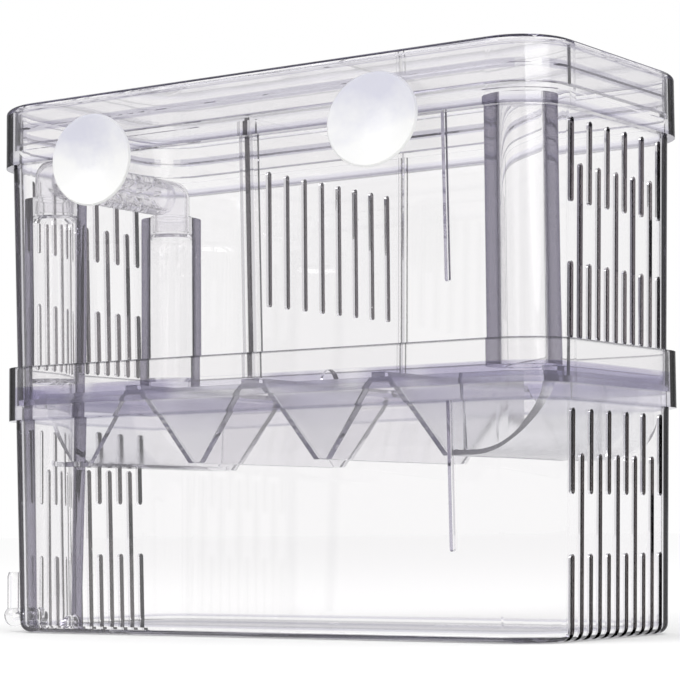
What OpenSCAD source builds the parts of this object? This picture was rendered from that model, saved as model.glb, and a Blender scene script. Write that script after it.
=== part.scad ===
// Two-storey breeding box for aquarium fish, with a lid, a lift-out
// divider, a zigzag floor grid, an air lift and two suction cups.
// Millimetres. +Z is up, the origin is the middle of the underside,
// X runs along the length and the suction cups face -Y.

/* [Overall] */
// Length over the upper collar
box_l = 225; // [190:1:260]
// Depth over the upper collar
box_w = 101.5; // [94:0.5:130]
// Corner radius of the upper collar
corner_r = 20; // [16:0.5:22]
// Height of the lower box under its collar
lower_h = 72.6; // [66:0.1:90]
// Height of the upper box from its foot to the underside of its collar
upper_h = 81.5; // [76:0.1:100]
// Mould draft of every wall
draft = 1.32; // [0.6:0.02:1.6]

/* [Collars] */
// How far a collar stands out of the wall below it
collar_proud = 2.5; // [1.6:0.1:3]
// Thickness of a collar's skin
collar_t = 2; // [1.6:0.1:2.4]
// Height of a collar
collar_h = 18.4; // [15:0.1:22]
// Height of the inner ledge over a collar's underside
ledge_h = 5; // [3:0.1:7]
// How much smaller the lower collar is, on each side
lower_inset = 1.2; // [1:0.1:1.5]

/* [Walls] */
// Thickness of the box walls
wall_t = 1.9; // [1.5:0.1:2.2]
// Thickness of the lower box's floor
floor_t = 2; // [1.6:0.1:3]
// Radius along the outer bottom edge
bottom_r = 3.4; // [2.4:0.1:3.4]

/* [End grilles] */
// Distance between neighbouring slot columns
grille_pitch = 5.75; // [5:0.05:6]
// Width of a grille slot
grille_w = 2.4; // [1.6:0.1:3]
// Gap from the collar down to the short top slots
top_slot_gap = 2.4; // [1.5:0.1:5]
// Length of the short top slots
top_slot_l = 26; // [18:0.5:30]
// Solid bridge between the short top slots and the slots under them
bridge_l = 18; // [10:0.5:20]
// Gap from the collar down to the long middle slots
mid_slot_gap = 16; // [12:0.5:18]
// Solid rim left under the slots of the upper box
foot_rim = 11.6; // [6:0.2:12]
// How far the slots of the lower box run into its floor
floor_slot_l = 11; // [8:0.5:14]

/* [Front slits] */
// Distance of the two front slits from the middle
slit_x = 75.8; // [72:0.1:80]
// Width of a front slit
slit_w = 1.5; // [1:0.1:2]
// Length of the slit in the upper box
upper_slit_l = 52; // [40:1:54]
// Length of the slit in the lower box
lower_slit_l = 45.4; // [35:0.2:50]

/* [Lid] */
// Height of the lid over the upper collar
lid_h = 3.4; // [3.2:0.1:6]
// Width of the lid's rounded edge
lid_round_w = 6; // [4:0.1:6.4]
// Thickness of the lid's top
lid_t = 2; // [1.6:0.1:2.4]
// Depth of the lid's plug under its rim
plug_h = 11.4; // [8:0.1:12]
// Thickness of the lid's plug
plug_t = 1.8; // [1.4:0.1:2.2]
// Room between the plug and the collar
plug_gap = 0.6; // [0.3:0.05:1]
// Height of the grip bead over the plug's lower edge
bead_z = 5.4; // [2:0.1:7]
// How far the grip bead stands out of the plug
bead_h = 0.4; // [0.1:0.05:0.5]

/* [Divider] */
// Thickness of the divider
divider_t = 2; // [1.5:0.1:2.4]
// Room on each side of the divider in its guides
guide_gap = 0.3; // [0.2:0.05:0.5]
// Thickness of each guide rib on the front wall
guide_t = 1.6; // [1.2:0.1:2]
// How far the guide ribs stand out of the front wall
guide_h = 3; // [2:0.1:4]
// Thickness of each guide rib on the back wall
back_guide_t = 0.9; // [0.8:0.1:1.6]
// How far the guide ribs stand out of the back wall
back_guide_h = 1.2; // [1:0.1:3]
// Height of the divider's top over the upper box's inner ledge
divider_rise = 1.5; // [0.5:0.5:4]
// Number of slots in the divider
divider_slots = 8; // [4:1:9]
// Distance between the divider's slots
divider_pitch = 10; // [8.5:0.1:10]
// Width of the divider's slots
divider_slot_w = 2; // [1.2:0.1:2.6]
// Length of the divider's slots
divider_slot_l = 44.5; // [30:0.5:50]
// Height of the divider's slots over its foot
divider_slot_z = 23.5; // [16:0.5:26]
// Radius of the half-round notch in the divider's foot
notch_r = 5; // [3:0.1:7]

/* [Floor grid] */
// Depth of the zigzag under the grid's flange
ridge_depth = 21.2; // [15:0.2:24]
// Width of the middle ridge's flat top
middle_top_w = 7.2; // [4:0.2:9]
// Width of the outer ridges' flat tops
outer_top_w = 5; // [2.6:0.1:6]
// Thickness of the ridges' flat tops
ridge_cap_t = 3.2; // [2.6:0.1:4]
// Thickness of the sloping plates
plate_t = 1.6; // [1.2:0.1:2]
// Width of the open slot at the bottom of each trough
trough_gap = 2.6; // [2:0.1:5]
// How far the ridges' ends lean in towards their feet
end_lean = 1.6; // [0.8:0.1:2.4]
// Room between the ridges' slopes and the end plates of the valleys
web_gap = 0.3; // [0.2:0.05:0.5]
// Thickness of the grid's flange
flange_t = 2; // [1.5:0.1:2.5]
// Width of the grid's upright rim
rim_t = 1.6; // [1.2:0.1:2]
// Height of the grid's upright rim over its flange
rim_h = 1.6; // [1:0.1:2.4]
// Length of each end scoop
scoop_l = 29; // [26:0.5:32]
// Radius of the end scoops' curved floors
scoop_r = 22; // [20:0.5:22]
// Distance from a scoop's lip to its cheeks
cheek_inset = 3.6; // [2:0.2:6]
// Room round the grid inside the boxes
grid_gap = 0.5; // [0.3:0.05:0.6]
// Room between the ridges' ends and the rim
ridge_end_gap = 0.2; // [0.1:0.05:0.4]

/* [Columns and air lift] */
// Radius of the columns and of the riser
column_r = 11.1; // [10:0.1:11.4]
// Gap from the columns' feet to the foot of the upper box
column_foot = 3.6; // [3.2:0.1:5]
// Height of the tall column's top over the collar's underside
column_top = 4.6; // [3:0.1:5]
// Height of the piped columns' tops under the collar's underside
piped_top = 11; // [8:0.5:20]
// Radius of the wide middle part of the piped columns' bores
wide_bore_r = 8.4; // [7.7:0.1:8.8]
// Length of the shoulders at the ends of that wide part
shoulder_l = 6; // [4:0.5:10]
// Bonding gap between a column's foot and the wall it stands against
bond_gap = 0.1; // [0.05:0.05:0.25]
// Radius of the cross pipe
pipe_r = 6.8; // [5.5:0.1:7.2]
// Wall of the cross pipe and its elbows
pipe_t = 1.4; // [1.2:0.1:1.6]
// Thickness of the tall column's closed top
column_cap_t = 2; // [1.5:0.1:3]
// Length of each elbow's level arm, from its bend
elbow_arm = 9; // [8:0.5:12]
// Depth of each elbow's spigot in its column
spigot_l = 5; // [3:0.5:10]
// Width of the stop ring over each spigot
stop_w = 1; // [0.6:0.1:1.6]
// Running clearance of the lift's plug-in joints
plug_in_gap = 0.2; // [0.1:0.05:0.3]
// Radius of the water holes in the cross pipe
spray_hole_r = 0.9; // [0.6:0.1:1.1]
// Distance between the rows of water holes
spray_pitch = 5; // [4:0.5:8]

/* [Air nipple] */
// Outer radius of the nipple for the air hose
nipple_r = 2.6; // [2.2:0.05:3]
// Length of the nipple's straight stem
nipple_l = 10; // [8:0.5:14]
// Bore radius of the nipple
nipple_bore_r = 1.1; // [0.8:0.05:1.4]
// Radius of the ball at the nipple's elbow
nipple_ball_r = 3.7; // [3.2:0.1:3.8]
// Height of the nipple's inlet over the underside
inlet_z = 5.2; // [5.2:0.1:8]
// Radius of the nipple's inlet leg
inlet_r = 1.6; // [1.4:0.05:1.8]
// Turn of the inlet round the front left corner, from the end wall
inlet_turn = 12; // [5:1:20]
// Wall of the rubber grommet round the inlet leg
grommet_t = 0.8; // [0.6:0.05:1]
// Running clearance round the inlet leg
inlet_gap = 0.05; // [0.03:0.01:0.08]
// Clearance between the nipple's stem and the end wall
stem_gap = 0.5; // [0.3:0.1:1]

/* [Suction cups] */
// Radius of a suction cup's lip
cup_r = 15.5; // [13:0.1:18]
// Distance of each cup from the middle
cup_x = 56.3; // [50:0.1:60]
// Height of the cups' stems under the collar
cup_drop = 3.2; // [3.2:0.1:6]
// Distance from the collar's face to the cup's lip
cup_reach = 8; // [7:0.1:10]
// Gap between the collar's face and the back of a cup
cup_gap = 1.8; // [1.6:0.1:2]
// Thickness of a cup in its middle
cup_core_t = 2.8; // [2.7:0.1:3.4]
// Radius of the stem through the wall
stem_r = 2.5; // [2:0.05:2.7]
// Radial clearance of the stem in its hole
stem_hole_gap = 0.08; // [0.03:0.01:0.1]
// How far the cups lean towards the right end
cup_lean = 7.5; // [0:0.5:9]
// How far the right cup tilts up
cup_tilt = 9.5; // [0:0.5:10]

/* [Hidden] */
$fn = 64;

clear_lavender = [0.85, 0.85, 0.93, 0.35];
frosted_grey = [0.80, 0.81, 0.84, 0.6];
milky_white = [0.93, 0.93, 0.95, 0.85];
rubber_grey = [0.62, 0.62, 0.66];
// Overshoot of a cutter past the face it cuts
cut = 1;
// Gap between flat faces that rest on each other
seat_gap = 0.05;
// Gap under a loose piece that stands on another
foot_gap = 0.3;

// The corner centres are shared by every ring of the two boxes
slope = tan(draft);
corner_x = box_l / 2 - corner_r;
corner_y = box_w / 2 - corner_r;

// Heights, from the underside up
lower_ledge_z = lower_h + ledge_h;
upper_z = lower_ledge_z + flange_t;
upper_collar_z = upper_z + upper_h;
upper_ledge_z = upper_collar_z + ledge_h;
lid_z = upper_collar_z + collar_h;
lid_top_z = lid_z + lid_h;

// Ring radii, from the corner centres
lower_collar_r = corner_r - lower_inset;
upper_wall_top_r = corner_r - collar_proud;
lower_wall_top_r = lower_collar_r - collar_proud;
function upper_wall_r(z) = upper_wall_top_r - max(0, upper_collar_z - z) * slope;
function lower_wall_r(z) = lower_wall_top_r - max(0, lower_h - z) * slope;

// Columns stand upright in the round corners, with their feet against the wall
column_out = upper_wall_r(upper_z) - wall_t - bond_gap - column_r;
column_x = corner_x + column_out / sqrt(2);
column_y = corner_y + column_out / sqrt(2);
column_foot_z = upper_z + column_foot;
piped_z = upper_collar_z - piped_top;
pipe_z = piped_z + stop_w + pipe_r;

// One bore runs through the columns and risers; the risers' joint is wider
bore_r = pipe_r + plug_in_gap;
socket_r = bore_r + pipe_t;
water_arch_r = 4;

// Air inlet through the front left corner, as radii from the corner's centre
grommet_r = inlet_r + inlet_gap + grommet_t;
grommet_flange_r = grommet_r + grommet_t / 2;
grommet_out_r = lower_wall_r(inlet_z + grommet_flange_r) + seat_gap;
grommet_in_r = sqrt(pow(lower_wall_r(inlet_z - grommet_flange_r) - wall_t, 2)
    - pow(grommet_flange_r, 2)) - seat_gap;
inlet_in_r = grommet_in_r - 2 * grommet_t;
tip_l = 1.5;
nipple_top_z = inlet_z + nipple_ball_r + nipple_l;
nipple_out_r = lower_wall_r(nipple_top_z) + nipple_ball_r + stem_gap;

// Floor grid, from the ledge's height
flange_r = lower_collar_r - collar_t - grid_gap;
rim_r = upper_wall_r(upper_z) - wall_t - grid_gap;
rim_in_r = rim_r - rim_t;
rim_in_x = corner_x + rim_in_r;
rim_in_y = corner_y + rim_in_r;
rim_z = upper_z + rim_h;
trough_z = lower_ledge_z - ridge_depth;
top_z = rim_z + plate_t;
span_y = rim_in_y - ridge_end_gap;
edge_x = rim_in_x - ridge_end_gap;
scoop_lip_x = edge_x - scoop_l;
scoop_x = edge_x - scoop_r;
scoop_z = trough_z + scoop_r;
cheek_x = scoop_lip_x + cheek_inset;

// The three ridges share the length between the scoops; all slope alike
ridge_pitch = (scoop_lip_x - trough_gap / 2 + (middle_top_w - outer_top_w) / 4) / 1.5;
ridge_run = (ridge_pitch - trough_gap - (middle_top_w + outer_top_w) / 2) / 2;
ridge_rise = top_z - trough_z;
ridge_plate_w = plate_t * norm([ridge_run, ridge_rise]) / ridge_rise;
// Half width of a ridge at a height
function flank_x(top_w, z) = top_w / 2 + ridge_run * (top_z - z) / ridge_rise;
// Half length of the ridges at a height
function end_y(z) = span_y - end_lean * (top_z - z) / ridge_rise;

// Lid and its plug
plug_r = corner_r - collar_t - plug_gap;
plug_z = lid_z - plug_h;

// Divider
divider_z = top_z + foot_gap;
divider_top_z = upper_ledge_z + divider_rise;

// Suction cups, measured outwards from the wall's face
cup_z = upper_collar_z - cup_drop;
cup_wall_y = corner_y + upper_wall_r(cup_z);
head_r = stem_r + 1.7;
head_t = 2.4;
shoulder_r = stem_r + 0.4;
bell_z = box_w / 2 - cup_wall_y + cup_gap;
lip_z = box_w / 2 - cup_wall_y + cup_reach;

// A closed ring round the box: the outline of [radius, height] points is
// turned round the four corners and drawn along the four sides
module ring(outline) {
    for (quarter = [0 : 3]) {
        sx = quarter == 0 || quarter == 3 ? 1 : -1;
        sy = quarter < 2 ? 1 : -1;
        translate([sx * corner_x, sy * corner_y, 0]) rotate([0, 0, 90 * quarter])
            rotate_extrude(angle = 90) polygon(outline);
    }
    for (side = [0, 1]) rotate([0, 0, 180 * side]) {
        translate([-corner_x, corner_y, 0]) rotate([90, 0, 90])
            linear_extrude(2 * corner_x) polygon(outline);
        translate([corner_x, corner_y, 0]) rotate([90, 0, 0])
            linear_extrude(2 * corner_y) polygon(outline);
    }
}

// A block with the corner centres of the boxes and its own corner radius
module rounded_block(r, z_low, z_high) {
    for (sx = [-1, 1], sy = [-1, 1])
        translate([sx * corner_x, sy * corner_y, z_low]) cylinder(r = r, h = z_high - z_low);
    translate([-corner_x - r, -corner_y, z_low])
        cube([2 * (corner_x + r), 2 * corner_y, z_high - z_low]);
    translate([-corner_x, -corner_y - r, z_low])
        cube([2 * corner_x, 2 * (corner_y + r), z_high - z_low]);
}

// A slot with round ends through both end walls, from x_in outwards
module end_slot(y, z_low, z_high, x_in) {
    r = grille_w / 2;
    depth = box_l / 2 + cut - x_in;
    for (side = [0, 1]) rotate([0, 0, 180 * side]) {
        translate([x_in, y - r, z_low + r]) cube([depth, grille_w, z_high - z_low - grille_w]);
        for (z = [z_low + r, z_high - r])
            translate([x_in, y, z]) rotate([0, 90, 0]) cylinder(r = r, h = depth, $fn = 24);
    }
}

// The staggered pattern of both end walls under a collar: six columns of
// short slots over longer ones, and five long columns between them
module end_grille(collar_z, low_z, x_in, x_low) {
    short_top = collar_z - top_slot_gap;
    short_foot = short_top - top_slot_l;
    for (i = [-2.5 : 1 : 2.5]) {
        end_slot(2 * i * grille_pitch, short_foot, short_top, x_in);
        end_slot(2 * i * grille_pitch, low_z, short_foot - bridge_l, x_low);
    }
    for (i = [-2 : 2])
        end_slot(2 * i * grille_pitch, low_z, collar_z - mid_slot_gap, x_low);
}

// A slit with a round foot through the front wall
module front_slit(z_low, z_high) {
    r = slit_w / 2;
    depth = corner_r;
    translate([slit_x - r, -corner_y - corner_r - cut, z_low + r])
        cube([slit_w, depth, z_high - z_low - r]);
    translate([slit_x, -corner_y - cut, z_low + r]) rotate([90, 0, 0])
        cylinder(r = r, h = depth, $fn = 24);
}

// ---- Lower box and its air inlet ----

// Places its children at the air inlet, with +X pointing out of the corner
module at_inlet() {
    translate([-corner_x, -corner_y, inlet_z]) rotate([0, 0, 180 + inlet_turn]) children();
}

// Outline of the lower box: floor, drafted wall, ledge and collar
function lower_outline() = concat(
    [[0, 0]],
    [for (a = [0 : 15 : 90])
        [lower_wall_r(bottom_r) - bottom_r * (1 - sin(a)), bottom_r * (1 - cos(a))]],
    [[lower_wall_top_r, lower_h],
     [lower_collar_r, lower_h],
     [lower_collar_r, lower_h + collar_h],
     [lower_collar_r - collar_t, lower_h + collar_h],
     [lower_collar_r - collar_t, lower_ledge_z],
     [lower_wall_top_r - wall_t, lower_ledge_z],
     [lower_wall_top_r - wall_t, lower_h],
     [lower_wall_r(floor_t) - wall_t, floor_t],
     [0, floor_t]]);

module lower_box() {
    floor_x = corner_x + lower_wall_r(0) - floor_slot_l;
    color(clear_lavender) difference() {
        union() {
            ring(lower_outline());
            translate([-corner_x, -corner_y, 0])
                cube([2 * corner_x, 2 * corner_y, floor_t]);
        }
        end_grille(lower_h, -grille_w, corner_x, floor_x);
        front_slit(lower_h - lower_slit_l, lower_h);
        at_inlet() rotate([0, 90, 0]) cylinder(r = grommet_r + inlet_gap, h = corner_r);
    }
}

// Riser tube in the lower box, with a port for the air inlet and a low arch
// for the water at its foot
module riser_lower() {
    foot_r = column_r - (lower_h - floor_t) * slope;
    color(clear_lavender) difference() {
        translate([-column_x, -column_y, 0]) difference() {
            union() {
                translate([0, 0, floor_t + seat_gap])
                    cylinder(r1 = foot_r, r2 = column_r, h = lower_h - floor_t - seat_gap);
                translate([0, 0, lower_h])
                    cylinder(r = column_r, h = upper_z - seat_gap - lower_h);
            }
            cylinder(r = bore_r, h = upper_z);
            translate([0, 0, upper_z - spigot_l - stop_w])
                cylinder(r = socket_r, h = spigot_l + stop_w);
            translate([0, 0, floor_t]) rotate([0, 90, 0])
                cylinder(r = water_arch_r, h = column_r + cut);
        }
        at_inlet() translate([corner_r / 3, 0, 0]) rotate([0, 90, 0])
            cylinder(r = grommet_flange_r + grommet_t / 2, h = corner_r);
    }
}

// Grommet with a flange on each side of the wall
module nipple_grommet() {
    color(rubber_grey) at_inlet() rotate([0, 90, 0]) difference() {
        union() {
            translate([0, 0, grommet_in_r - grommet_t])
                cylinder(r = grommet_r, h = grommet_out_r - grommet_in_r + 2 * grommet_t);
            for (z = [grommet_in_r - grommet_t, grommet_out_r])
                translate([0, 0, z]) cylinder(r = grommet_flange_r, h = grommet_t);
        }
        cylinder(r = inlet_r + inlet_gap, h = 2 * corner_r);
    }
}

// Elbow that takes the air hose: an inlet leg through the wall, a ball and
// an upright stem with a tapered tip
module air_nipple() {
    inlet_l = nipple_out_r - inlet_in_r;
    stem_l = nipple_ball_r + nipple_l;
    color(clear_lavender) at_inlet() translate([nipple_out_r, 0, 0]) difference() {
        union() {
            sphere(r = nipple_ball_r);
            rotate([0, -90, 0]) cylinder(r = inlet_r, h = inlet_l);
            cylinder(r = nipple_r, h = stem_l);
            translate([0, 0, stem_l])
                cylinder(r1 = nipple_r, r2 = nipple_r - tip_l / 3, h = tip_l);
        }
        cylinder(r = nipple_bore_r, h = stem_l + tip_l + cut);
        rotate([0, -90, 0]) cylinder(r = nipple_bore_r, h = inlet_l + cut);
    }
}

// ---- Floor grid between the boxes ----

// Room for the riser in the front left corner of the grid
module riser_cut() {
    translate([-column_x, -column_y, trough_z - cut])
        cylinder(r = column_r + 2 * grid_gap, h = top_z + 2 * cut - trough_z);
}

// Front view of the plate that closes a valley's end. Valleys 0 and 3 lie
// beside the scoops, 1 and 2 beside the middle ridge
module web_outline(valley) {
    side = valley < 2 ? -1 : 1;
    outer = valley == 0 || valley == 3;
    lip_top_z = trough_z + plate_t + web_gap;
    polygon(concat(
        [for (z = [rim_z, trough_z])
            [side * (outer ? ridge_pitch + flank_x(outer_top_w, z) + web_gap
                           : flank_x(middle_top_w, z) + web_gap), z]],
        outer ? [[side * (scoop_lip_x - web_gap), trough_z],
                 [side * (scoop_lip_x - web_gap), lip_top_z],
                 [side * (cheek_x - web_gap), lip_top_z],
                 [side * (cheek_x - web_gap), rim_z]]
              : [for (z = [trough_z, rim_z])
                    [side * (ridge_pitch - flank_x(outer_top_w, z) - web_gap), z]]));
}

// End plates that hang from the frame and lean in like the ridges' ends
module webs(side, first) {
    hang_z = lower_ledge_z + seat_gap;
    intersection() {
        rotate([90, 0, 0]) linear_extrude(2 * (rim_in_y + rim_t), center = true)
            for (valley = [first : 3]) web_outline(valley);
        rotate([90, 0, 90]) linear_extrude(2 * rim_in_x, center = true)
            polygon([[side * (end_y(trough_z) - plate_t), trough_z - cut],
                     [side * end_y(trough_z), trough_z - cut],
                     [side * end_y(trough_z), trough_z],
                     [side * rim_in_y, hang_z], [side * (rim_in_y + rim_t / 2), hang_z],
                     [side * (rim_in_y + rim_t / 2), rim_z + cut],
                     [side * (rim_in_y - plate_t), rim_z + cut],
                     [side * (rim_in_y - plate_t), hang_z],
                     [side * (end_y(trough_z) - plate_t), trough_z]]);
    }
}

module grid_frame() {
    color(frosted_grey) difference() {
        union() {
            ring([[rim_in_r, lower_ledge_z + seat_gap], [flange_r, lower_ledge_z + seat_gap],
                  [flange_r, upper_z - seat_gap], [rim_r, upper_z - seat_gap],
                  [rim_r, rim_z], [rim_in_r, rim_z]]);
            // The valley beside the riser is open at the front
            webs(1, 0);
            webs(-1, 1);
        }
        riser_cut();
        // The corner outside the riser stays open
        translate([-column_x - corner_r, -column_y - corner_r, lower_ledge_z - cut])
            cube([corner_r, corner_r, rim_z - lower_ledge_z + 2 * cut]);
    }
}

// One inverted V across the box, hung on the rim by its flat top
module ridge(x, top_w) {
    cap_z = top_z - ridge_cap_t;
    foot_x = flank_x(top_w, trough_z);
    cap_x = flank_x(top_w, cap_z) - ridge_plate_w;
    tab_y = rim_in_y + rim_t;
    color(clear_lavender) translate([x, 0, 0]) {
        intersection() {
            rotate([90, 0, 0]) linear_extrude(2 * tab_y, center = true)
                polygon([[-foot_x, trough_z], [ridge_plate_w - foot_x, trough_z],
                         [-cap_x, cap_z], [cap_x, cap_z],
                         [foot_x - ridge_plate_w, trough_z], [foot_x, trough_z],
                         [top_w / 2, top_z], [-top_w / 2, top_z]]);
            rotate([90, 0, 90]) linear_extrude(2 * foot_x + cut, center = true)
                polygon([for (z = [trough_z - cut, top_z + cut]) [-end_y(z), z],
                         for (z = [top_z + cut, trough_z - cut]) [end_y(z), z]]);
        }
        translate([-top_w / 2, -tab_y, rim_z + seat_gap])
            cube([top_w, 2 * tab_y, plate_t - seat_gap]);
    }
}

module ridge_left() ridge(-ridge_pitch, outer_top_w);
module ridge_middle() ridge(0, middle_top_w);
module ridge_right() ridge(ridge_pitch, outer_top_w);

// Side view of an end scoop: a level lip beside the last trough, a quarter
// round floor, and an upright edge with a hook over the end rim
module scoop_outline() {
    difference() {
        intersection() {
            translate([scoop_x, scoop_z]) circle(r = scoop_r);
            translate([scoop_x, trough_z]) square([scoop_r, scoop_r]);
        }
        translate([scoop_x, scoop_z]) circle(r = scoop_r - plate_t);
    }
    translate([scoop_lip_x, trough_z]) square([scoop_x - scoop_lip_x, plate_t]);
    translate([edge_x - plate_t, scoop_z]) square([plate_t, top_z - scoop_z]);
}

// Side view of a cheek, which closes a scoop's end
module cheek_outline() {
    intersection() {
        union() {
            translate([scoop_x, scoop_z]) circle(r = scoop_r - plate_t / 2);
            translate([cheek_x, trough_z + plate_t / 2]) square([scoop_x - cheek_x, scoop_r]);
        }
        translate([cheek_x, trough_z + plate_t / 2])
            square([rim_in_x - cheek_x, rim_z - trough_z - plate_t / 2]);
    }
}

// An end scoop with cheeks on the given sides, +1 for the back
module scoop(sides) {
    intersection() {
        union() {
            rotate([90, 0, 0]) linear_extrude(2 * span_y, center = true) scoop_outline();
            for (side = sides) translate([0, side * (span_y - plate_t / 2), 0])
                rotate([90, 0, 0]) linear_extrude(plate_t, center = true) cheek_outline();
        }
        rounded_block(rim_in_r - ridge_end_gap / 2, trough_z - cut, top_z + cut);
    }
    translate([edge_x - plate_t, -corner_y, rim_z + seat_gap])
        cube([rim_t + plate_t + ridge_end_gap, 2 * corner_y, plate_t - seat_gap]);
}

module ramp_right() { color(frosted_grey) scoop([-1, 1]); }
// The riser stands where the left scoop's front cheek would be
module ramp_left() {
    color(frosted_grey) difference() {
        mirror([1, 0, 0]) scoop([1]);
        riser_cut();
    }
}

// ---- Upper box ----

// Outline of the upper box: drafted wall, ledge and collar, open below
function upper_outline() =
    [[upper_wall_r(upper_z) - wall_t, upper_z],
     [upper_wall_r(upper_z), upper_z],
     [upper_wall_top_r, upper_collar_z],
     [corner_r, upper_collar_z],
     [corner_r, lid_z],
     [corner_r - collar_t, lid_z],
     [corner_r - collar_t, upper_ledge_z],
     [upper_wall_top_r - wall_t, upper_ledge_z],
     [upper_wall_top_r - wall_t, upper_collar_z]];

// A pair of upright ribs on the back wall that guide the divider
module guide_ribs(rib_t, rib_h) {
    foot_y = corner_y + upper_wall_r(divider_z) - wall_t;
    top_y = corner_y + upper_wall_top_r - wall_t;
    rib_x = divider_t / 2 + guide_gap;
    for (x = [rib_x, -rib_x - rib_t])
        translate([x, 0, 0]) rotate([90, 0, 90]) linear_extrude(rib_t)
            polygon([[foot_y - rib_h, divider_z], [foot_y + wall_t / 2, divider_z],
                     [top_y + wall_t / 2, upper_collar_z], [top_y + wall_t / 2, upper_ledge_z],
                     [top_y - rib_h, upper_ledge_z], [top_y - rib_h, upper_collar_z]]);
}

module upper_box() {
    color(clear_lavender) difference() {
        union() {
            ring(upper_outline());
            guide_ribs(back_guide_t, back_guide_h);
            rotate([0, 0, 180]) guide_ribs(guide_t, guide_h);
        }
        end_grille(upper_collar_z, upper_z + foot_rim, corner_x, corner_x);
        front_slit(upper_collar_z - upper_slit_l, upper_collar_z);
        for (x = [-cup_x, cup_x])
            translate([x, -corner_y - corner_r / 2, cup_z]) rotate([90, 0, 0])
                cylinder(r = stem_r + stem_hole_gap, h = corner_r, $fn = 48);
    }
}

// ---- Columns in the corners of the upper box ----

// A straight tube, open at both ends
module tube(z_low, z_high) {
    difference() {
        translate([0, 0, z_low]) cylinder(r = column_r, h = z_high - z_low);
        translate([0, 0, z_low - cut]) cylinder(r = bore_r, h = z_high - z_low + 2 * cut);
    }
}

// The front right column is closed at the top
module column_front_right() {
    cap_z = upper_collar_z + column_top - column_cap_t;
    color(clear_lavender) translate([column_x, -column_y, 0]) {
        tube(column_foot_z, cap_z + column_cap_t);
        translate([0, 0, cap_z]) cylinder(r = column_r - cut, h = column_cap_t);
    }
}

// Cutter for the wide part of a piped column's bore, with conical ends
module wide_bore(z_low, z_high) {
    widening = wide_bore_r - bore_r;
    rotate_extrude() polygon([
        [0, z_low - cut], [bore_r - cut, z_low - cut], [wide_bore_r, z_low + widening],
        [wide_bore_r, z_high - widening], [bore_r - cut, z_high + cut], [0, z_high + cut]]);
}

module column_back_left() {
    color(clear_lavender) translate([-column_x, column_y, 0]) difference() {
        tube(column_foot_z, piped_z);
        wide_bore(column_foot_z + shoulder_l, piped_z - shoulder_l);
    }
}

// Riser tube in the upper box: it stands on the one below, and its spigot
// lines the two up
module riser_upper() {
    color(clear_lavender) translate([-column_x, -column_y, 0]) difference() {
        union() {
            translate([0, 0, upper_z]) cylinder(r = column_r, h = piped_z - upper_z);
            translate([0, 0, upper_z - spigot_l])
                cylinder(r = socket_r - plug_in_gap, h = 2 * spigot_l);
        }
        translate([0, 0, upper_z - spigot_l - cut])
            cylinder(r = bore_r, h = piped_z - upper_z + spigot_l + 2 * cut);
        wide_bore(upper_z + shoulder_l, piped_z - shoulder_l);
    }
}

// ---- Cross pipe over the left columns ----

arm_in_r = pipe_r - pipe_t;

// An elbow with its spigot pointing down and its arm pointing along +Y
module elbow() {
    fall = pipe_z - piped_z;
    difference() {
        union() {
            sphere(r = pipe_r);
            translate([0, 0, -fall - spigot_l]) cylinder(r = pipe_r, h = fall + spigot_l);
            translate([0, 0, seat_gap - fall]) cylinder(r = pipe_r + stop_w, h = stop_w);
            rotate([-90, 0, 0]) cylinder(r = pipe_r, h = elbow_arm);
        }
        sphere(r = arm_in_r);
        translate([0, 0, -fall - spigot_l - cut])
            cylinder(r = arm_in_r, h = fall + spigot_l + cut);
        rotate([-90, 0, 0]) cylinder(r = arm_in_r, h = elbow_arm + cut);
    }
}

module elbow_front() {
    color(clear_lavender) translate([-column_x, -column_y, pipe_z]) elbow();
}

module elbow_back() {
    color(clear_lavender) translate([-column_x, column_y, pipe_z])
        rotate([0, 0, 180]) elbow();
}

// The pipe between the elbows, with rows of water holes and a reduced
// spigot at each end
module cross_pipe() {
    half_l = column_y - elbow_arm - seat_gap;
    spigot_r = arm_in_r - plug_in_gap;
    bore_r = spigot_r - pipe_t;
    rows = floor((2 * half_l - 2 * spigot_l) / spray_pitch);
    color(clear_lavender) translate([-column_x, 0, pipe_z]) rotate([90, 0, 0]) difference() {
        union() {
            cylinder(r = pipe_r, h = 2 * half_l, center = true);
            cylinder(r = spigot_r, h = 2 * (half_l + spigot_l), center = true);
        }
        cylinder(r = bore_r, h = 2 * (half_l + spigot_l + cut), center = true);
        for (row = [0 : rows], turn = [0 : 7])
            translate([0, 0, (row - rows / 2) * spray_pitch])
                rotate([0, 90, 45 * turn + 22.5 * (row % 2)]) translate([0, 0, bore_r / 2])
                    cylinder(r = spray_hole_r, h = 2 * pipe_r, $fn = 16);
    }
}

// ---- Divider and lid ----

// Half width of the divider at a height, clear of the drafted walls
function divider_y(z) = corner_y + upper_wall_r(z) - wall_t - grid_gap;

module divider() {
    r = divider_slot_w / 2;
    color(clear_lavender) rotate([90, 0, 90]) linear_extrude(divider_t, center = true)
        difference() {
            polygon([[-divider_y(divider_z), divider_z], [divider_y(divider_z), divider_z],
                     [divider_y(upper_collar_z), upper_collar_z],
                     [divider_y(upper_collar_z), divider_top_z],
                     [-divider_y(upper_collar_z), divider_top_z],
                     [-divider_y(upper_collar_z), upper_collar_z]]);
            translate([0, divider_z]) circle(r = notch_r);
            for (i = [0 : divider_slots - 1])
                translate([(i - (divider_slots - 1) / 2) * divider_pitch,
                           divider_z + divider_slot_z]) {
                    translate([-r, r]) square([divider_slot_w, divider_slot_l - divider_slot_w]);
                    for (z = [r, divider_slot_l - r]) translate([0, z]) circle(r = r);
                }
        }
}

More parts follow.
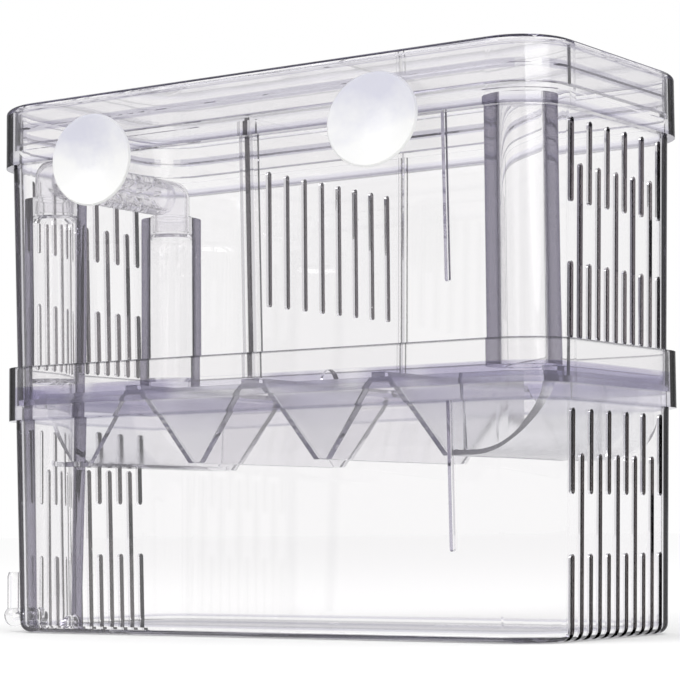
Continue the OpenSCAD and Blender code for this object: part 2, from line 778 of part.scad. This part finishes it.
// Outline of the lid: plug with its grip bead, rim and rounded edge
function lid_outline() = concat(
    [[0, lid_top_z - lid_t],
     [plug_r - plug_t, lid_top_z - lid_t],
     [plug_r - plug_t, plug_z],
     [plug_r, plug_z],
     [plug_r, plug_z + bead_z - bead_h],
     [plug_r + bead_h, plug_z + bead_z],
     [plug_r, plug_z + bead_z + bead_h],
     [plug_r, lid_z + seat_gap],
     [corner_r, lid_z + seat_gap]],
    [for (a = [0 : 11.25 : 90])
        [corner_r - lid_round_w * (1 - cos(a)),
         lid_top_z - (lid_h - lid_t / 4) * (1 - sin(a))]],
    [[0, lid_top_z]]);

module lid() {
    color(clear_lavender) {
        ring(lid_outline());
        translate([-corner_x, -corner_y, lid_top_z - lid_t])
            cube([2 * corner_x, 2 * corner_y, lid_t]);
    }
}

// ---- Suction cups ----

// The straight part: a mushroom head behind the wall, the stem through it
// and a shoulder in front
module cup_stem() {
    rotate_extrude() polygon([
        [0, -wall_t - head_t], [head_r / 2, -wall_t - head_t],
        [head_r, -wall_t - 3 * stem_hole_gap - head_t / 3],
        [head_r, -wall_t - 3 * stem_hole_gap], [stem_r, -wall_t - 3 * stem_hole_gap],
        [stem_r, 3 * stem_hole_gap], [shoulder_r, 3 * stem_hole_gap],
        [shoulder_r, bell_z + wall_t], [0, bell_z + wall_t]]);
}

// The bell: a flared back and a shallow hollow, as two curves
module cup_bell() {
    depth = lip_z - bell_z;
    back = [for (t = [0 : 0.125 : 1])
        [shoulder_r + 2 + (cup_r - shoulder_r - 2) * t,
         bell_z + (depth - 0.7) * pow(t, 1.7)]];
    hollow = [for (t = [0 : 0.125 : 1])
        [(cup_r - 0.6) * (1 - t), lip_z - (depth - cup_core_t) * sin(90 * t)]];
    rotate_extrude() polygon(concat([[0, bell_z]], back, hollow));
}

// The bell leans about the middle of its lip and tilts about the wall
module suction_cup(x, tilt) {
    color(milky_white) translate([x, -cup_wall_y, cup_z]) rotate([90, 0, 0]) {
        cup_stem();
        rotate([-tilt, 0, 0]) translate([0, 0, lip_z]) rotate([0, cup_lean, 0])
            translate([0, 0, -lip_z]) cup_bell();
    }
}

module suction_cup_left() suction_cup(-cup_x, 0);
module suction_cup_right() suction_cup(cup_x, cup_tilt);

lower_box();
riser_lower();
air_nipple();
nipple_grommet();
grid_frame();
ridge_left();
ridge_middle();
ridge_right();
ramp_left();
ramp_right();
upper_box();
riser_upper();
column_back_left();
column_front_right();
elbow_front();
cross_pipe();
elbow_back();
divider();
lid();
suction_cup_left();
suction_cup_right();
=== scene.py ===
"""Looks of a two-storey fish breeding box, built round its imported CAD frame."""

import math

import bpy
from mathutils import Matrix, Vector

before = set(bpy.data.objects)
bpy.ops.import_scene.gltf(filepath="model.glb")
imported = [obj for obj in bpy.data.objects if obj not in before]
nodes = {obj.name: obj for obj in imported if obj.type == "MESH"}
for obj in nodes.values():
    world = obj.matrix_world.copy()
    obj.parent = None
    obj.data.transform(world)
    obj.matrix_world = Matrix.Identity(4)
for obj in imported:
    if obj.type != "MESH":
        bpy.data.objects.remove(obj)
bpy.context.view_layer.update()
scene = bpy.context.scene
MM = 0.001
WHITE = (1, 1, 1)


# ---- Small helpers ----


class Graph:
    """A material's or world's node tree, with one call to add and wire a node."""

    def __init__(self, tree):
        self.tree = tree
        tree.nodes.clear()

    def add(self, kind, inputs=None, **settings):
        node = self.tree.nodes.new(kind)
        for key, value in settings.items():
            setattr(node, key, value)
        for key, value in (inputs or {}).items():
            self.put(node.inputs[key], value)
        return node

    def put(self, socket, value):
        """Links a node or a socket, or sets a plain value."""
        if hasattr(value, "outputs"):
            value = value.outputs[0]
        if isinstance(value, bpy.types.NodeSocket):
            self.tree.links.new(value, socket)
        elif socket.type == "RGBA":
            socket.default_value = (*value, 1)
        else:
            socket.default_value = value

    def math(self, operation, a, b=0.0, clamp=False):
        return self.add("ShaderNodeMath", {0: a, 1: b}, operation=operation, use_clamp=clamp)

    def scale_add(self, value, factor, offset):
        """The value times a factor, plus an offset."""
        return self.add("ShaderNodeMath", {0: value, 1: factor, 2: offset}, operation="MULTIPLY_ADD")

    def ramp(self, factor, stops):
        """A colour ramp; each stop is a place and a grey level or a colour."""
        node = self.add("ShaderNodeValToRGB", {0: factor})
        marks = node.color_ramp.elements
        while len(marks) < len(stops):
            marks.new(1.0)
        for mark, (place, level) in zip(marks, stops):
            mark.position = place
            mark.color = (*level, 1) if isinstance(level, tuple) else (level,) * 3 + (1,)
        return node

    def mix(self, factor, first, second, blend="MIX"):
        """A colour mix; returns its colour socket."""
        node = self.add(
            "ShaderNodeMix", {0: factor, 6: first, 7: second}, data_type="RGBA", blend_type=blend
        )
        return node.outputs[2]

    def mix_shader(self, factor, first, second):
        return self.add("ShaderNodeMixShader", {0: factor, 1: first, 2: second})

    def noise(self, where, scale, detail=3.0, rough=0.5):
        return self.add(
            "ShaderNodeTexNoise",
            {"Vector": where, "Scale": scale, "Detail": detail, "Roughness": rough},
        )

    def bump(self, height, strength, depth):
        """A bump from a height, its depth in millimetres."""
        return self.add(
            "ShaderNodeBump", {"Strength": strength, "Distance": depth * MM, "Height": height}
        )

    def split(self, vector):
        """A vector's three parts."""
        return list(self.add("ShaderNodeSeparateXYZ", {0: vector}).outputs)


class Surface:
    """A new material, with sockets for where a point lies and how its face turns.

    The place is in the piece's own metres, so it stays as the piece moves; the
    share is the same place as a share of the piece's size.
    """

    def __init__(self, name):
        self.mat = bpy.data.materials.new(name)
        self.mat.use_nodes = True
        self.g = Graph(self.mat.node_tree)
        coords = self.g.add("ShaderNodeTexCoord")
        self.place = coords.outputs["Object"]
        self.share = coords.outputs["Generated"]
        self.x, self.y, self.z = self.g.split(self.place)
        self.turn_x, self.turn_y, self.turn_z = self.g.split(coords.outputs["Normal"])

    def facing(self):
        """0 where a face looks straight at the eye, 1 where it is seen edge-on."""
        return self.g.add("ShaderNodeLayerWeight", {"Blend": 0.5}).outputs["Facing"]

    def finish(self, looks, dye=None):
        """Ends with a Principled surface and, in clear plastic, a dye inside."""
        shader = self.g.add("ShaderNodeBsdfPrincipled", looks)
        ends = {"Surface": shader}
        if dye:
            colour, density = dye
            ends["Volume"] = self.g.add(
                "ShaderNodeVolumeAbsorption", {"Color": colour, "Density": density}
            )
        self.g.add("ShaderNodeOutputMaterial", ends)
        return self.mat


def reach(name, axis):
    """A piece's lowest and highest place along one axis at rest, in millimetres."""
    places = [vertex.co[axis] / MM for vertex in nodes[name].data.vertices]
    return min(places), max(places)


def dress(mat, *names):
    for name in names:
        obj = nodes[name]
        obj.data.materials.clear()
        obj.data.materials.append(mat)


# ---- Camera ----

# Where the eye stands, in degrees and millimetres: round from the front, up
# from level, turned about its axis, away, to the right and over the table
EYE_AZIMUTH = 34.59
EYE_PITCH = 4.7
EYE_ROLL = -0.46
EYE_DISTANCE = 794.7
EYE_SIDE = 3.08
EYE_HEIGHT = 32.82
SENSOR_W = 36
FOCAL_LENGTH = 124.82


def make_camera():
    azimuth, pitch, roll = (math.radians(a) for a in (EYE_AZIMUTH, EYE_PITCH, EYE_ROLL))
    level = Vector((-math.sin(azimuth), math.cos(azimuth), 0))
    side = Vector((math.cos(azimuth), math.sin(azimuth), 0))
    ahead = level * math.cos(pitch) + Vector((0, 0, math.sin(pitch)))
    upright = side.cross(ahead)
    right = side * math.cos(roll) + upright * math.sin(roll)
    up = right.cross(ahead)
    place = (level * -EYE_DISTANCE + side * EYE_SIDE + Vector((0, 0, EYE_HEIGHT))) * MM
    data = bpy.data.cameras.new("camera")
    data.sensor_width = SENSOR_W
    data.lens = FOCAL_LENGTH
    data.clip_start = 0.01
    camera = bpy.data.objects.new("camera", data)
    scene.collection.objects.link(camera)
    rotation = Matrix((right, up, -ahead)).transposed().to_4x4()
    camera.matrix_world = Matrix.Translation(place) @ rotation
    scene.camera = camera


# ---- Studio ----

# How bright the room and the table look along a path that the clear
# plastic has mirrored 0, 1, 2 and 3 times
ROOM_LEVELS = (1.0, 0.76, 0.48, 0.32)
TABLE_LEVELS = (1.0, 0.96, 0.70, 0.45)
# Colours of the darkest such paths to the room and of all those to the table
ROOM_TINT = (0.91, 0.89, 1.0)
TABLE_TINT = (0.98, 0.975, 1.0)
# The room as a light on dull surfaces
FILL_LEVEL = 0.92
# The floor's colour, the light that it adds to look white, and its size in m
FLOOR_COLOUR = (0.88, 0.88, 0.88)
FLOOR_GLOW = 0.16
FLOOR_REACH = 30.0
FLOOR_DROP = 0.2 * MM
# Name, place and width in metres, and power in watts
LAMPS = (
    ("key", (-0.5, -1.1, 0.9), 0.9, 6.0),
    ("fill", (1.1, -0.5, 0.7), 1.2, 4.0),
)
LAMP_AIM = Vector((0, 0, 0.1))


def path_level(g, levels):
    """Full on a straight path, and lower the more often a path was mirrored."""
    last = len(levels) - 1
    turns = g.add("ShaderNodeLightPath").outputs["Glossy Depth"]
    share = g.math("DIVIDE", turns, float(last), clamp=True)
    return g.ramp(share, [(i / last, level) for i, level in enumerate(levels)])


def make_world():
    world = bpy.data.worlds.new("studio")
    world.use_nodes = True
    scene.world = world
    g = Graph(world.node_tree)
    level = path_level(g, ROOM_LEVELS)
    light = g.add("ShaderNodeBackground", {0: g.mix(level, ROOM_TINT, WHITE), 1: level})
    fill = g.add("ShaderNodeBackground", {0: WHITE, 1: FILL_LEVEL})
    backdrop = g.add("ShaderNodeBackground", {0: WHITE, 1: 1.0})
    path = g.add("ShaderNodeLightPath").outputs
    other = g.mix_shader(path["Is Diffuse Ray"], light, fill)
    out = g.mix_shader(path["Is Camera Ray"], other, backdrop)
    g.add("ShaderNodeOutputWorld", {"Surface": out})


def make_floor():
    surface = Surface("stage_floor")
    g = surface.g
    path = g.add("ShaderNodeLightPath").outputs
    grain = g.noise(surface.place, 40.0, 4.0)
    bump = g.add("ShaderNodeBump", {"Strength": 0.02, "Height": grain})
    pale = g.add("ShaderNodeBsdfDiffuse", {0: FLOOR_COLOUR, "Normal": bump})
    glow = g.add("ShaderNodeEmission", {0: WHITE, 1: FLOOR_GLOW})
    shown = g.add("ShaderNodeAddShader", {0: pale, 1: glow})
    direct = g.mix_shader(path["Is Diffuse Ray"], shown, pale)
    dim = g.add("ShaderNodeEmission", {0: TABLE_TINT, 1: path_level(g, TABLE_LEVELS)})
    mirrored = g.math("GREATER_THAN", path["Glossy Depth"], 0.5)
    g.add("ShaderNodeOutputMaterial", {"Surface": g.mix_shader(mirrored, direct, dim)})
    mesh = bpy.data.meshes.new("stage_floor")
    corners = [(x * FLOOR_REACH, y * FLOOR_REACH, 0) for x, y in ((-1, -1), (1, -1), (1, 1), (-1, 1))]
    mesh.from_pydata(corners, [], [(0, 1, 2, 3)])
    mesh.materials.append(surface.mat)
    floor = bpy.data.objects.new("stage_floor", mesh)
    floor.location.z = -FLOOR_DROP
    scene.collection.objects.link(floor)


def make_lamp(name, place, width, power):
    data = bpy.data.lights.new(name, "AREA")
    data.shape = "DISK"
    data.size = width
    data.energy = power
    lamp = bpy.data.objects.new(name, data)
    lamp.location = place
    lamp.rotation_euler = (LAMP_AIM - Vector(place)).to_track_quat("-Z", "Y").to_euler()
    lamp.visible_camera = False
    scene.collection.objects.link(lamp)


# ---- Tones of the clear plastic, with its painted shade ----

# From untinted plastic down to the darkest painted shade on its edges
CLEAR = (0.995, 0.993, 0.993)
FAINT = (0.90, 0.89, 0.93)
LEANING = (0.88, 0.87, 0.89)
MILD = (0.84, 0.83, 0.90)
STEP = (0.68, 0.67, 0.74)
BAND = (0.64, 0.62, 0.73)
EDGE = (0.42, 0.41, 0.48)
SLIT = (0.30, 0.28, 0.37)
LINE = (0.24, 0.24, 0.26)
FLANK = (0.20, 0.18, 0.19)
DEEP = (0.14, 0.13, 0.19)
LOW_FLANK = (0.09, 0.08, 0.08)
SHADOW = (0.03, 0.027, 0.04)

# Where the pieces end, in millimetres
X, Y, Z = range(3)
BOX_END = reach("upper_box", X)[1]
BOX_SIDE = reach("upper_box", Y)[1]
LOWER_TOP = reach("lower_box", Z)[1]
UPPER_FOOT, UPPER_TOP = reach("upper_box", Z)
PLUG_FOOT, LID_TOP = reach("lid", Z)
COLLAR_H = 18.4
LOWER_COLLAR = LOWER_TOP - COLLAR_H
UPPER_COLLAR = UPPER_TOP - COLLAR_H

# Rows of painted shade by height, in millimetres over the table: from, to and tone
LEDGE_ROW = (LOWER_COLLAR + 4.8, UPPER_FOOT + 4.2, BAND)
LOWER_ROWS = (
    (0.2, 0.8, EDGE),  # rounded foot
    (3.1, 3.5, STEP),  # where its rounding ends
    (LOWER_COLLAR - 0.1, LOWER_COLLAR + 0.4, STEP),  # foot of the collar
    (LOWER_COLLAR + 0.8, LOWER_COLLAR + 4.4, FAINT),  # ring under the ledge
    LEDGE_ROW,  # beside the grid's flange and the upper box's foot
    (LOWER_TOP - 0.5, LOWER_TOP, LINE),  # rim
)
UPPER_ROWS = (
    (UPPER_FOOT, UPPER_FOOT + 3.4, MILD),  # foot
    (UPPER_COLLAR, UPPER_COLLAR + 0.8, EDGE),  # foot of the collar
    (UPPER_COLLAR + 1.1, UPPER_COLLAR + 2.3, MILD),  # ring under the ledge
)
TOP_ROW = (LID_TOP - 1.7, LID_TOP + 0.1, DEEP)
LID_ROWS = (
    (PLUG_FOOT - 0.1, PLUG_FOOT + 0.4, EDGE),  # foot of the plug
    (PLUG_FOOT + 4.3, PLUG_FOOT + 7.1, STEP),  # bead round the plug
    (LID_TOP - 3.45, LID_TOP - 3.0, STEP),  # seat on the collar
    TOP_ROW,  # rounded top
)
# Heights that each piece's rows are drawn over, and the part of them over
# which a row's tone fades out
LOWER_SPAN = (-10, 110)
UPPER_SPAN = (70, 190)
LID_SPAN = (160, 190)
ROW_FADE = 0.0015

# The patches of the ledge's painted-shade row that stay clear
PATCH_SCALE = 26.0
PATCH_STOPS = [(0.0, 0.0), (0.48, 0.0), (0.62, 1.0)]

# The slots lie in the end walls, past this X and within this Y
SLOT_WALL_X = (BOX_END - 18.5) * MM
SLOT_HALF_Y = 31 * MM
# The slits lie in the front walls, nearer than this Y
SLIT_X = 75.8 * MM
SLIT_HALF_W = 1.5 * MM
FRONT_Y = (10.75 - BOX_SIDE) * MM
# The lid's rim lies past this X or this Y
RIM_X = (BOX_END - 6) * MM
RIM_Y = (BOX_SIDE - 6.05) * MM
# Past this part of its normal, a face counts as turned along an axis
STEEP_TURN = 0.7
# Past this product of its normal's parts, a face belongs to a round corner
ROUND_TURN = 0.03
# Under this product of its normal's parts, a ridge's face leans to the near end
LEAN_TURN = -0.1
# How far round corners turn from the eye before their painted shade starts, and how fast they then
# stop bending light
CORNER_START = 0.45
CORNER_CALM = 4.0
CORNER_STOPS = [
    (0.0, CLEAR),
    (CORNER_START, CLEAR),
    (0.58, STEP),
    (0.68, DEEP),
    (0.80, SHADOW),
    (1.0, SHADOW),
]
# How far a tube turns from the eye where its bore ends, for each bore
THICK_WALL_START = 0.22
THIN_WALL_START = 0.30
# Painted shade on a tube's wall: from there on, and where it is seen nearly edge-on
WALL_NEAR = (
    (-0.02, CLEAR),
    (0.0, (0.10, 0.09, 0.13)),
    (0.08, (0.26, 0.245, 0.30)),
    (0.28, (0.28, 0.265, 0.325)),
)
WALL_FAR = ((0.75, (0.14, 0.12, 0.19)), (1.0, (0.06, 0.05, 0.09)))
# Square of the distance from a tube's axis, in tube widths, past which a
# face is the tube's outside
TUBE_OUTSIDE = 0.165


def between(g, value, middle, half):
    """1 where the value is within half of the middle, else 0."""
    gap = g.math("ABSOLUTE", g.math("SUBTRACT", value, middle))
    return g.math("LESS_THAN", gap, half)


def steep(g, part):
    """1 where a face turns along one axis, given that part of its normal."""
    return g.math("GREATER_THAN", g.math("ABSOLUTE", part), STEEP_TURN)


def bands(surface, rows, span):
    """Painted shade by height, clear between the rows."""
    low, high = span
    stops = [(0.0, CLEAR)]
    for start, end, tone in rows:
        start, end = ((z - low) / (high - low) for z in (start, end))
        stops += [(start - ROW_FADE, CLEAR), (start, tone), (end, tone), (end + ROW_FADE, CLEAR)]
    g = surface.g
    share = g.math("DIVIDE", g.math("SUBTRACT", surface.z, low * MM), (high - low) * MM)
    return g.ramp(share, stops)


# Each shade gives a colour with painted shade, and where the plastic bends light less


def slot_shade(surface, colour, calm, flank):
    """Painted shade on the side faces of the slots in both end walls and of the front slits."""
    g = surface.g
    outward = g.math("GREATER_THAN", g.math("ABSOLUTE", surface.x), SLOT_WALL_X)
    flanks = g.math("MULTIPLY", outward, between(g, surface.y, 0.0, SLOT_HALF_Y))
    flanks = g.math("MULTIPLY", flanks, steep(g, surface.turn_y))
    slit = g.math("MULTIPLY", between(g, surface.x, SLIT_X, SLIT_HALF_W), steep(g, surface.turn_x))
    slit = g.math("MULTIPLY", slit, g.math("LESS_THAN", surface.y, FRONT_Y))
    colour = g.mix(slit, g.mix(flanks, colour, flank), SLIT)
    return colour, g.math("MAXIMUM", calm, slit)


def corner_shade(surface, colour):
    """Paints shade on the round corners where they turn away from the eye."""
    g = surface.g
    facing = surface.facing()
    slant = g.math("ABSOLUTE", g.math("MULTIPLY", surface.turn_x, surface.turn_y))
    round_part = g.math("GREATER_THAN", slant, ROUND_TURN)
    tone = g.mix(round_part, CLEAR, g.ramp(facing, CORNER_STOPS))
    turned = g.math("MULTIPLY", g.math("SUBTRACT", facing, CORNER_START), CORNER_CALM, clamp=True)
    return g.mix(1.0, colour, tone, "MULTIPLY"), g.math("MULTIPLY", round_part, turned)


def lower_shade(surface):
    """Painted shade: dark slots and corners, grey-lavender steps round the lower collar."""
    g = surface.g
    steps = bands(surface, LOWER_ROWS, LOWER_SPAN)
    start, end, _ = LEDGE_ROW
    ledge = between(g, surface.z, (start + end) / 2 * MM, ((end - start) / 2 + 0.2) * MM)
    patches = g.ramp(g.noise(surface.place, PATCH_SCALE, 2.0), PATCH_STOPS)
    tone = g.mix(g.math("MULTIPLY", ledge, patches), steps, CLEAR)
    colour, calm = corner_shade(surface, tone)
    return slot_shade(surface, colour, calm, LOW_FLANK)


def upper_shade(surface):
    """Painted shade: dark slots and corners, grey-lavender steps at the foot and the collar."""
    colour, calm = corner_shade(surface, bands(surface, UPPER_ROWS, UPPER_SPAN))
    return slot_shade(surface, colour, calm, FLANK)


def divider_shade(surface):
    """Painted shade on the side faces of the divider's slots and its two upright edges."""
    return surface.g.mix(steep(surface.g, surface.turn_y), CLEAR, FLANK), None


def lid_shade(surface):
    """Painted shade on the lid's rounded rim, its seat and the bead round its plug."""
    g = surface.g
    x, y = (g.math("ABSOLUTE", part) for part in (surface.x, surface.y))
    outer = g.math("GREATER_THAN", x, RIM_X)
    rim = g.math("MAXIMUM", outer, g.math("GREATER_THAN", y, RIM_Y))
    tone, calm = corner_shade(surface, bands(surface, LID_ROWS, LID_SPAN))
    top = g.math("MULTIPLY", rim, g.math("GREATER_THAN", surface.z, TOP_ROW[0] * MM))
    return g.mix(rim, CLEAR, tone), g.math("MAXIMUM", calm, top)


def wall_shade(surface, start):
    """Painted shade on a tube's wall, grey-purple where its side turns past the bore's."""
    g = surface.g
    facing = surface.facing()
    near = [(start + further, tone) for further, tone in WALL_NEAR]
    stops = [(0.0, CLEAR), *near, *WALL_FAR]
    offsets = [g.math("SUBTRACT", part, 0.5) for part in g.split(surface.share)[:2]]
    off_axis = g.math("ADD", *[g.math("MULTIPLY", part, part) for part in offsets])
    outside = g.math("GREATER_THAN", off_axis, TUBE_OUTSIDE)
    upright = g.math("LESS_THAN", g.math("ABSOLUTE", surface.turn_z), STEEP_TURN)
    wall = g.math("MULTIPLY", outside, upright)
    turned = g.math("GREATER_THAN", facing, start - 0.01)
    return g.mix(wall, CLEAR, g.ramp(facing, stops)), g.math("MULTIPLY", wall, turned)


def tube_shade(surface):
    """Painted shade on the thick wall of the closed column and of the lower riser."""
    return wall_shade(surface, THICK_WALL_START)


def piped_shade(surface):
    """Painted shade on the thinner wall of the two tubes that carry the cross pipe."""
    return wall_shade(surface, THIN_WALL_START)


def ridge_shade(surface):
    """Painted shade on the ridges' plates: those that face the near end are painted greyer."""
    lean = surface.g.math("MULTIPLY", surface.turn_x, surface.turn_z)
    return surface.g.mix(surface.g.math("LESS_THAN", lean, LEAN_TURN), CLEAR, LEANING), None


def plain_shade(_):
    """Clear all over."""
    return CLEAR, None


# ---- Materials ----

# Refraction of the solid plastic, of thin plates, and of calmed edges
SOLID_IOR = 1.53
RIDGE_IOR = 1.24
RAMP_IOR = 1.18
PIPE_IOR = 1.12
SOFT_IOR = 1.45
CALM_IOR = 1.07
# Colour and density of the faint dye inside the plastic
CLEAR_DYE = ((0.62, 0.60, 0.72), 5.0)
FROSTED_DYE = ((0.60, 0.59, 0.64), 8.0)
# The grid is painted greyer in front of this Y than behind it, as painted shade
GRID_SPLIT_Y = 20 * MM
# The suction cups turn greyer from this height up, over this far, as painted shade
CUP_FOOT_Z = 144 * MM
CUP_RISE = 30 * MM


def clear_plastic(name, shade=plain_shade, ior=SOLID_IOR):
    """Crystal-clear moulded plastic: faint flow waves, a few dust specks.

    The shade gives the painted shade of its darker parts: the flanks of slots,
    the thick steps and rims, or the walls of tubes seen edge-on. It also says
    where these bend light less, so that they don't mirror the white room.
    """
    surface = Surface(name)
    g = surface.g
    colour, calm = shade(surface)
    bend = g.scale_add(calm, CALM_IOR - ior, ior) if calm else ior
    specks = g.ramp(g.noise(surface.place, 900.0, 2.0), [(0.0, 0.0), (0.70, 0.0), (0.78, 1.0)])
    looks = {
        "Base Color": colour,
        "Roughness": g.scale_add(specks, 0.12, 0.012),
        "IOR": bend,
        "Specular IOR Level": 0.2,
        "Transmission Weight": 1.0,
        "Normal": g.bump(g.noise(surface.place, 22.0, 2.0), 0.05, 1.0),
    }
    return surface.finish(looks, CLEAR_DYE)


def frosted_plastic(name, ior):
    """Thin grey-lavender plastic of the floor grid, slightly hazy, with painted shade on its front
    part.
    """
    surface = Surface(name)
    g = surface.g
    far = g.math("GREATER_THAN", surface.y, GRID_SPLIT_Y)
    looks = {
        "Base Color": g.mix(far, (0.86, 0.86, 0.885), (0.97, 0.97, 0.975)),
        "Roughness": g.scale_add(g.noise(surface.place, 60.0, 4.0), 0.10, 0.10),
        "IOR": ior,
        "Specular IOR Level": 0.2,
        "Transmission Weight": 1.0,
        "Normal": g.bump(g.noise(surface.place, 140.0), 0.10, 0.5),
    }
    return surface.finish(looks, FROSTED_DYE)


def hazy_plastic():
    """Cloudy pale plastic of the cross pipe and its elbows."""
    surface = Surface("hazy_plastic")
    g = surface.g
    cloud = g.noise(surface.place, 160.0, 4.0, 0.6)
    looks = {
        "Base Color": g.mix(cloud, (0.90, 0.89, 0.92), (1.0, 0.998, 1.0)),
        "Roughness": g.scale_add(cloud, 0.20, 0.12),
        "IOR": PIPE_IOR,
        "Specular IOR Level": 0.2,
        "Transmission Weight": 1.0,
        "Normal": g.bump(g.noise(surface.place, 300.0), 0.16, 0.6),
    }
    return surface.finish(looks)


def cup_vinyl():
    """Milky soft vinyl of the suction cups, with painted shade making them greyer towards their tops.
    """
    surface = Surface("cup_vinyl")
    g = surface.g
    rise = g.math("DIVIDE", g.math("SUBTRACT", surface.z, CUP_FOOT_Z), CUP_RISE, clamp=True)
    cloud = g.math("SUBTRACT", g.noise(surface.place, 45.0, 4.0, 0.6), 0.5)
    uneven = g.math("ADD", rise, g.math("MULTIPLY", cloud, 1.6), clamp=True)
    tones = [(0.0, (0.87, 0.87, 0.86)), (0.45, (0.83, 0.83, 0.83)), (1.0, (0.64, 0.64, 0.72))]
    looks = {
        "Base Color": g.ramp(uneven, tones),
        "Roughness": 0.34,
        "IOR": SOFT_IOR,
        "Subsurface Weight": 0.2,
        "Subsurface Radius": (0.9, 0.9, 1.0),
        "Subsurface Scale": 3 * MM,
        "Transmission Weight": 0.12,
        "Normal": g.bump(g.noise(surface.place, 260.0), 0.10, 0.5),
    }
    return surface.finish(looks)


def grommet_rubber():
    """Soft clear-grey rubber of the air inlet's grommet."""
    surface = Surface("grommet_rubber")
    g = surface.g
    looks = {
        "Base Color": (0.62, 0.61, 0.68),
        "Roughness": 0.45,
        "IOR": SOFT_IOR,
        "Transmission Weight": 0.45,
        "Normal": g.bump(g.noise(surface.place, 500.0), 0.2, 0.3),
    }
    return surface.finish(looks)


# ---- Build ----

# Limits on how often light may pass or be mirrored in the thin plates
BOUNCES = 40
CLEAR_BOUNCES = 24

make_camera()
make_world()
make_floor()
for lamp in LAMPS:
    make_lamp(*lamp)

dress(clear_plastic("clear_plastic"), "air_nipple")
dress(grommet_rubber(), "nipple_grommet")
dress(clear_plastic("lower_plastic", lower_shade), "lower_box")
dress(clear_plastic("upper_plastic", upper_shade), "upper_box")
dress(clear_plastic("tube_plastic", tube_shade), "column_front_right", "riser_lower")
dress(clear_plastic("piped_plastic", piped_shade), "column_back_left", "riser_upper")
dress(frosted_plastic("frosted_plastic", SOLID_IOR), "grid_frame")
dress(frosted_plastic("ramp_plastic", RAMP_IOR), "ramp_left", "ramp_right")
dress(
    clear_plastic("ridge_plastic", ridge_shade, RIDGE_IOR),
    "ridge_left",
    "ridge_middle",
    "ridge_right",
)
dress(hazy_plastic(), "elbow_front", "cross_pipe", "elbow_back")
dress(clear_plastic("divider_plastic", divider_shade), "divider")
dress(clear_plastic("lid_plastic", lid_shade), "lid")
dress(cup_vinyl(), "suction_cup_left", "suction_cup_right")

scene.view_settings.view_transform = "Standard"
scene.cycles.max_bounces = BOUNCES
scene.cycles.transmission_bounces = BOUNCES
scene.cycles.glossy_bounces = BOUNCES
scene.cycles.transparent_max_bounces = CLEAR_BOUNCES
